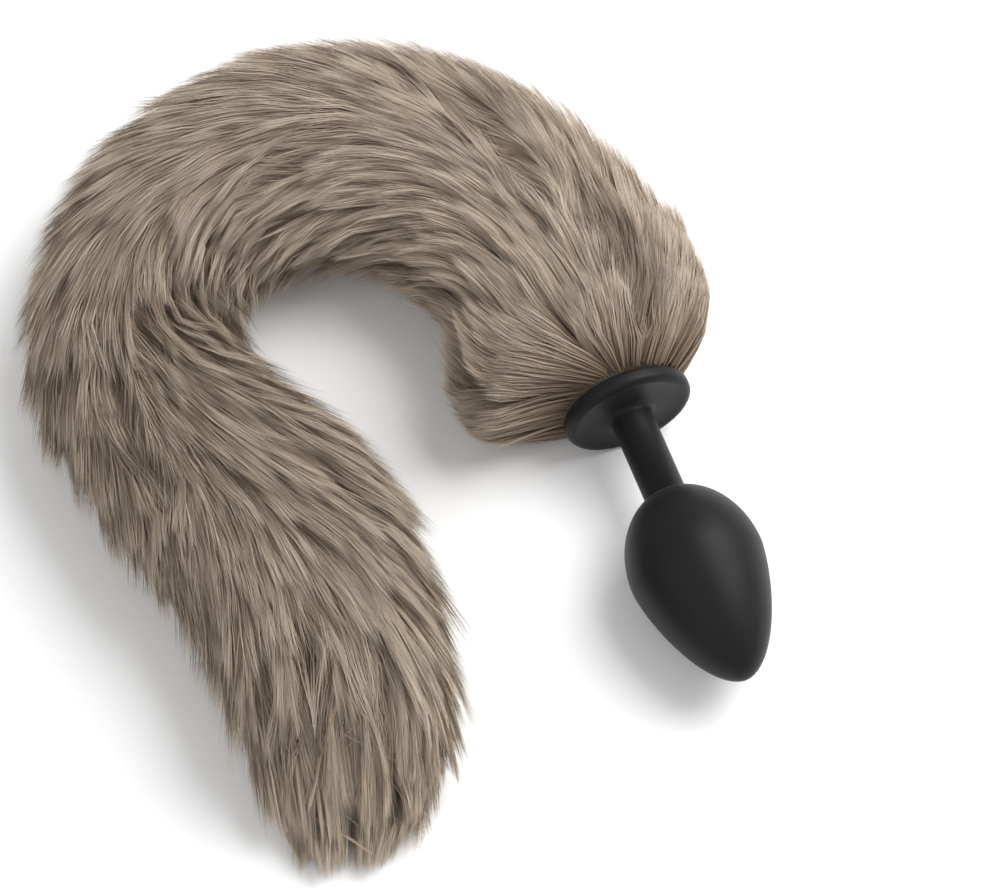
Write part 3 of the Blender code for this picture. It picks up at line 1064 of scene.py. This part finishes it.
@dataclass
class FurCoat:
    """The coat of strands, gathered in fine wisps that are gathered in locks."""

    lay: bpy.types.Mesh
    flange: Vector
    reach: float
    strands_per_area: float = 3.1e6  # per square metre
    strand_length: float = 0.033
    strand_width: float = 0.00030
    root_depth: float = ROOT_DEPTH
    tip_lift: float = 0.0026
    lock_spacing: float = 0.0068
    wisp_spacing: float = 0.0022
    lock_gather: float = 0.36
    wisp_gather: float = 0.62
    free_share: float = 0.14  # strands that stray from their wisps
    free_side: float = 0.006  # how much further they stray
    free_gather: float = 0.8  # share of the gathering that they miss
    gather_along: float = 0.45  # how much strands gather along the tail for what they do across it
    least_length: float = 0.004
    settling: float = 1.6  # tip lifts taken off all strands, so that the coat lies close
    collar_end: float = 0.15  # share up to which strands are kept behind the flange
    flange_lift: float = 0.05  # share over which the tip lift grows from the flange
    stray_tone: float = 0.6  # tone of the streaks along the tail
    taper: float = 0.88
    twist: float = 2.2  # radians between the most turned strands
    brush_fill_start: float = 0.84
    brush_fill: float = 0.006  # how far strands sink to close the brush inside
    wave: float = 0.0004
    seed: int = 11
    brush_end: float = BRUSH_END
    brush_rounding: float = 0.045
    tree: bpy.types.NodeTree = field(init=False)
    sockets: dict[str, str] = field(init=False)
    desk: NodeDesk = field(init=False)
    inputs: dict[str, Wire] = field(init=False)

    def __post_init__(self) -> None:
        """Builds the tree that all parts of the coat share."""
        self.tree = bpy.data.node_groups.new("fur_strands", "GeometryNodeTree")
        self.sockets = {}
        self.desk = NodeDesk(self.tree)
        self.declare("Geometry", "NodeSocketGeometry")
        for name in ("From", "To", *COAT_SIZES):
            self.declare(name, "NodeSocketFloat")
        self.declare("Strand Steps", "NodeSocketInt")
        self.declare("Seed", "NodeSocketInt")
        self.declare("Fur", "NodeSocketMaterial")
        self.tree.interface.new_socket("Geometry", in_out="OUTPUT", socket_type="NodeSocketGeometry")
        self.grow()

    def declare(self, name: str, kind: str) -> None:
        """Adds a named input and keeps its identifier."""
        self.sockets[name] = self.tree.interface.new_socket(name, in_out="INPUT", socket_type=kind).identifier

    def grow(self) -> None:
        """Fills the tree: roots, guides, ribbons and their paths over the lay surface."""
        desk = self.desk
        given = desk.node("NodeGroupInput", {}, {})
        self.inputs = {s.name: Wire(desk, s) for s in given.outputs if s.name}
        roots = self.add_roots()
        ribbon = self.add_ribbon(self.inputs["Strand Steps"])
        strands = desk.put("GeometryNodeInstanceOnPoints", {}, {"Points": roots, "Instance": ribbon})
        strands = desk.put("GeometryNodeRealizeInstances", {}, {"Geometry": strands})
        strands = desk.put(
            "GeometryNodeSetPosition", {}, {"Geometry": strands, "Position": self.strand_place()}
        )
        spot = desk.joined(
            desk.named("tone", "FLOAT") + desk.named("ribbon").part(0) * 0.010,
            desk.named("ribbon").part(1) * 0.96 + 0.5,
        )
        strands = desk.stored(strands, TEXTURE_MAP, spot, "FLOAT2", "CORNER")
        for name in PLACE_VALUES + ROOT_VALUES:
            strands = desk.put("GeometryNodeRemoveAttribute", {}, {"Geometry": strands, "Name": name})
        strands = desk.put("GeometryNodeSetShadeSmooth", {}, {"Geometry": strands})
        furred = {"Geometry": strands, "Material": self.inputs["Fur"]}
        desk.node("NodeGroupOutput", {}, {0: desk.put("GeometryNodeSetMaterial", {}, furred)})

    def add_ribbon(self, steps: Wire) -> Wire:
        """A flat pointed ribbon that keeps its own place, from -0.5 to 0.5 across and along.

        Args:
            steps: how many faces long it is.

        Returns:
            The ribbon.
        """
        desk = self.desk
        sizes = {"Size X": 1.0, "Size Y": 1.0, "Vertices X": 2, "Vertices Y": steps + 1.0}
        ribbon = desk.put("GeometryNodeMeshGrid", {}, sizes)
        place = desk.put("GeometryNodeInputPosition", {}, {})
        ribbon = desk.stored(ribbon, "ribbon", place, "FLOAT_VECTOR")
        pointed = desk.joined(place.part(0) * (1.0 - place.part(1).above(0.499)), place.part(1))
        ribbon = desk.put("GeometryNodeSetPosition", {}, {"Geometry": ribbon, "Position": pointed})
        return desk.put("GeometryNodeMergeByDistance", {}, {"Geometry": ribbon, "Distance": 0.001})

    def add_roots(self) -> Wire:
        """Scatters the roots and tells each its wisp and its lock.

        Returns:
            The root points with their attributes.
        """
        desk = self.desk
        lay = self.inputs["Geometry"]
        position = desk.put("GeometryNodeInputPosition", {}, {})
        share = desk.named("lay").part(0) * self.reach
        inside = share.above(self.inputs["From"]) * (1.0 - share.above(self.inputs["To"]))
        density = inside * desk.named("density", "FLOAT") * self.inputs["Strands Per Area"]
        roots = desk.put(
            "GeometryNodeDistributePointsOnFaces",
            {"distribute_method": "RANDOM"},
            {"Mesh": lay, "Density": density, "Seed": self.inputs["Seed"]},
        )
        scattered = {"distribute_method": "POISSON"}
        guides = {
            name: desk.put(
                "GeometryNodeDistributePointsOnFaces",
                scattered,
                {"Mesh": lay, "Distance Min": self.inputs[spacing], "Density Max": crowd, "Seed": seed},
            )
            for name, spacing, crowd, seed in (
                ("wisp", "Wisp Spacing", 9.0e5, self.seed + 1),
                ("lock", "Lock Spacing", 9.0e4, self.seed + 2),
            )
        }
        vector = {"data_type": "FLOAT_VECTOR"}

        def sample(name: str, value: Wire, index: Wire) -> Wire:
            """A value of one guide point."""
            values = {"Geometry": guides[name], "Value": value, "Index": index}
            return desk.put("GeometryNodeSampleIndex", vector, values)

        def nearest(name: str, place: Wire) -> Wire:
            """The guide point nearest to a place."""
            values = {"Geometry": guides[name], "Sample Position": place}
            return desk.put("GeometryNodeSampleNearest", {}, values)

        wisp = nearest("wisp", position)
        lock = nearest("lock", sample("wisp", position, wisp))
        uv = desk.named("lay")
        for name, value in (
            ("home", uv),
            ("wisp", sample("wisp", uv, wisp)),
            ("lock", sample("lock", uv, lock)),
            ("own_chance", desk.chance(self.seed + 3)),
            ("wisp_chance", sample("wisp", desk.chance(self.seed + 4), wisp)),
            ("lock_chance", sample("lock", desk.chance(self.seed + 5), lock)),
        ):
            roots = desk.stored(roots, name, value, "FLOAT_VECTOR")
        tone = 0.5
        for name, spread in zip(Spread._fields, TONE_SPREAD):
            tone = tone + (desk.named(f"{name}_chance").part(2) - 0.5) * spread
        streaks = desk.noise(desk.named("lay") * (9.0, 22.0, 1.0), 1.0, 2.0)
        # the lay surface's painted light and shade go into each strand's tone
        tone = tone + (streaks - 0.5) * self.stray_tone + desk.named("shade", "FLOAT")
        return desk.stored(roots, "tone", tone.at_least(0.02).at_most(0.98), "FLOAT")

    def chances(self) -> tuple[Wire, Wire, Wire]:
        """Random numbers of each strand, of its wisp and of its lock."""
        return tuple(self.desk.named(f"{name}_chance") for name in ("own", "wisp", "lock"))

    def along(self) -> Wire:
        """0 at a strand's root, 1 at its tip."""
        return self.desk.named("ribbon").part(1) + 0.5

    def own_length(self) -> Wire:
        """Each strand's length in metres, cut where the brush ends."""
        own, wisp, lock = self.chances()
        home = self.desk.named("home")
        length = self.inputs["Strand Length"]
        for chance, least, more in zip((lock, wisp, own), LEAST_LENGTH, MORE_LENGTH):
            length = length * (least + chance.part(0) * more)
        corner = ((home.part(1) - 0.5) * FULL_TURN).sine() ** 2.0
        end = self.brush_end - self.brush_rounding * corner - lock.part(0) * 0.02 - wisp.part(0) * 0.02
        left = (end - home.part(0) * self.reach) * TAIL_LENGTH
        return length.at_most(left.at_least(self.least_length))

    def path(self) -> Wire:
        """Where a strand's vertices lie on the lay surface's map.

        Returns:
            The place on the map.
        """
        desk = self.desk
        own, wisp, lock = self.chances()
        t = self.along()
        home = desk.named("home")
        metres_along = desk.named("stretch", "FLOAT").at_least(0.6 * TAIL_LENGTH)
        free = own.part(0).above(1.0 - self.free_share)
        phase = (wisp.part(1) + t * (0.5 + lock.part(1))) * FULL_TURN
        stray = (
            desk.named("flare", "FLOAT")
            + (lock.part(1) - 0.5) * SIDE_SPREAD.lock
            + (wisp.part(1) - 0.5) * SIDE_SPREAD.wisp
            + (own.part(1) - 0.5) * (SIDE_SPREAD.own + free * self.free_side)
        )
        sideways = (stray * t + self.inputs["Wave"] * phase.sine() * t) / desk.named("girth", "FLOAT")
        ahead = desk.joined(self.own_length() * t / metres_along / self.reach, sideways)
        gather = t**0.8 * self.inputs["Wisp Gather"] * (1.0 - free * self.free_gather)
        to_wisp = (desk.named("wisp") - home) * gather
        to_lock = (desk.named("lock") - desk.named("wisp")) * (t**1.5 * self.inputs["Lock Gather"])
        uv = home + ahead + (to_wisp + to_lock) * desk.joined(self.gather_along, 1.0)
        return desk.joined(uv.part(0).at_most(0.9995), uv.part(1).at_least(0.003).at_most(0.997))

    def height(self) -> Wire:
        """How far a strand's vertices stand off the lay surface.

        Returns:
            Metres, below 0 at the root.
        """
        desk = self.desk
        own, wisp, lock = self.chances()
        t = self.along()
        home = desk.named("home")
        near_flange = (home.part(0) * (self.reach / self.flange_lift)).at_most(1.0)
        lift = self.inputs["Tip Lift"] * desk.named("rise", "FLOAT") * near_flange
        unruly = lock.part(0) * LIFT_SPREAD.lock + wisp.part(2) ** 3.0 * LIFT_SPREAD.wisp
        unruly = unruly + own.part(1) * LIFT_SPREAD.own - self.settling
        lift = lift * unruly + desk.named("back", "FLOAT")
        depth = self.inputs["Root Depth"] * desk.named("deep", "FLOAT")
        in_brush = ((home.part(0) * self.reach - self.brush_fill_start) * 12.0).at_least(0.0).at_most(1.0)
        fill = in_brush * own.part(1) * self.brush_fill
        return (depth + lift - fill) * t**1.05 - depth

    def strand_place(self) -> Wire:
        """Where each vertex of a strand goes.

        Returns:
            The vertex's place.
        """
        desk = self.desk
        uv = self.path()
        own_map = self.map_socket()
        own = desk.named("own_chance")
        ribbon = desk.named("ribbon")
        t = self.along()

        def sampled(value: Wire) -> Wire:
            """A vector of the lay surface at the strand's place on its map."""
            values = {0: self.inputs["Geometry"], "Value": value, "Sample UV": uv, own_map: desk.named("lay")}
            return desk.put("GeometryNodeSampleUVSurface", {"data_type": "FLOAT_VECTOR"}, values)

        point = sampled(desk.put("GeometryNodeInputPosition", {}, {}))
        outward = sampled(desk.named("outward"))
        across = sampled(desk.named("across"))
        taper = (1.0 - t**1.6 * self.taper) * (0.7 + own.part(2) * 0.6)
        half_width = ribbon.part(0) * self.inputs["Strand Width"] * taper
        twist = (own.part(0) - 0.5) * self.twist
        raised = self.height() + half_width * twist.sine()
        place = point + outward * raised + across * (half_width * twist.cosine())
        back = Tilt.axis() * -1.0
        behind = (place - tuple(self.flange)).dot(tuple(back))
        by_flange = 1.0 - desk.named("home").part(0).above(self.collar_end)
        short = (CLEARANCE - behind + own.part(1) * 0.001).at_least(0.0) * by_flange
        place = place + desk.joined(short * back.x, short * back.y, short * back.z)
        floor = 0.0002 + own.part(1) * 0.0012 + half_width * 0.2
        return desk.joined(place.part(0), place.part(1), place.part(2).at_least(floor))

    def map_socket(self) -> str:
        """Name of the sampling node's socket for the map it reads."""
        probe = self.tree.nodes.new("GeometryNodeSampleUVSurface")
        name = next(s.name for s in probe.inputs if "UV Map" in s.name)
        self.tree.nodes.remove(probe)
        return name

    def build(self, part: CoatPart, material: bpy.types.Material) -> bpy.types.Object:
        """Grows one part of the coat.

        Args:
            part: which part.
            material: the strands' material.

        Returns:
            The finished piece.
        """
        maker = show(f"{part.name}_maker", self.lay)
        grower = maker.modifiers.new("strands", "NODES")
        grower.node_group = self.tree
        values = {
            "From": part.start,
            "To": part.end,
            **{name: getattr(self, name.lower().replace(" ", "_")) for name in COAT_SIZES},
            "Strand Steps": part.steps,
            "Seed": self.seed,
            "Fur": material,
        }
        for name, value in values.items():
            grower[self.sockets[name]] = value
        mesh = settle(maker, part.name)
        piece = show(part.name, mesh, material)
        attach(piece, ROOT_BODY)
        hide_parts("fur_tail")
        return piece


class Lamp(NamedTuple):
    """A square soft light that faces the object: its place from the camera's target, side and watts."""

    name: str
    offset: tuple[float, float, float]
    size: float
    power: float


LAMPS = (Lamp("key", (0.60, 0.34, 0.92), 0.9, 16.0), Lamp("fill", (-0.7, -0.7, 1.0), 1.4, 4.0))

# Where the camera looks on the table, from the flange's back
CAMERA_FROM_FLANGE = Vector((-0.0307, -0.0047, 0.0))


@dataclass
class Studio:
    """A pale floor, soft light and the camera."""

    target: Vector
    elevation: float = math.radians(63.0)
    distance: float = 1.0
    lens: float = 143.28
    floor_half: float = 3.0
    floor_colour: Colour = (0.92, 0.92, 0.92)
    world_strength: float = 0.60

    def add_floor(self) -> None:
        """Adds the floor and marks it as stage."""
        h = self.floor_half
        mesh = bpy.data.meshes.new("floor")
        mesh.from_pydata([(-h, -h, 0), (h, -h, 0), (h, h, 0), (-h, h, 0)], [], [(0, 1, 2, 3)])
        material, _, shader = new_material("pale_floor")
        shader.inputs["Base Color"].default_value = (*self.floor_colour, 1.0)
        set_plain(shader, {"Roughness": 0.9, "Specular IOR Level": 0.1})
        show("floor", mesh, material)

    def add_light(self, lamp: Lamp) -> None:
        """Adds one light."""
        light = bpy.data.lights.new(lamp.name, "AREA")
        light.size = lamp.size
        light.energy = lamp.power
        holder = bpy.data.objects.new(lamp.name, light)
        holder.location = self.target + Vector(lamp.offset)
        holder.rotation_euler = (-Vector(lamp.offset)).to_track_quat("-Z", "Y").to_euler()
        bpy.context.scene.collection.objects.link(holder)

    def add_world(self) -> None:
        """Adds even light from all round."""
        world = bpy.data.worlds.new("studio")
        world.use_nodes = True
        sky = world.node_tree.nodes["Background"]
        sky.inputs["Color"].default_value = (1.0, 1.0, 1.0, 1.0)
        sky.inputs["Strength"].default_value = self.world_strength
        bpy.context.scene.world = world

    def add_camera(self) -> None:
        """Adds the camera at the photograph's angle."""
        data = bpy.data.cameras.new("camera")
        data.lens = self.lens
        data.clip_start = 0.01
        camera = bpy.data.objects.new("camera", data)
        back = Vector((0.0, -math.cos(self.elevation), math.sin(self.elevation)))
        camera.location = self.target + back * self.distance
        camera.rotation_euler = (math.pi / 2 - self.elevation, 0.0, 0.0)
        bpy.context.scene.collection.objects.link(camera)
        bpy.context.scene.camera = camera

    def build(self) -> None:
        """Sets up everything round the object."""
        bpy.context.scene.view_settings.view_transform = "Standard"
        self.add_floor()
        for lamp in LAMPS:
            self.add_light(lamp)
        self.add_world()
        self.add_camera()


def dress_post(nodes: dict[str, bpy.types.Object]) -> None:
    """Gives the hidden post its finish."""
    post = nodes["tail_post"]
    post.data.materials.clear()
    post.data.materials.append(POST_PLASTIC.make())


def main() -> None:
    """Builds the object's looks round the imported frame."""
    logging.basicConfig(level=logging.INFO, format="%(name)s: %(message)s")
    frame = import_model()
    flange = flange_back()
    form = TailForm(flange)
    dress_post(frame["nodes"])
    for piece in (SiliconePlug().build(), Underfur(form).build()):
        log.info("%s: %d faces", piece.name, len(piece.data.polygons))
    surface = LaySurface(form)
    coat = FurCoat(surface.build(), flange, surface.reach)
    strands = FUR.make_strands()
    for part in COAT_PARTS:
        piece = coat.build(part, strands)
        log.info("%s: %d faces", piece.name, len(piece.data.polygons))
    target = flange + CAMERA_FROM_FLANGE
    Studio(Vector((target.x, target.y, 0.0))).build()


if __name__ == "__main__":
    main()
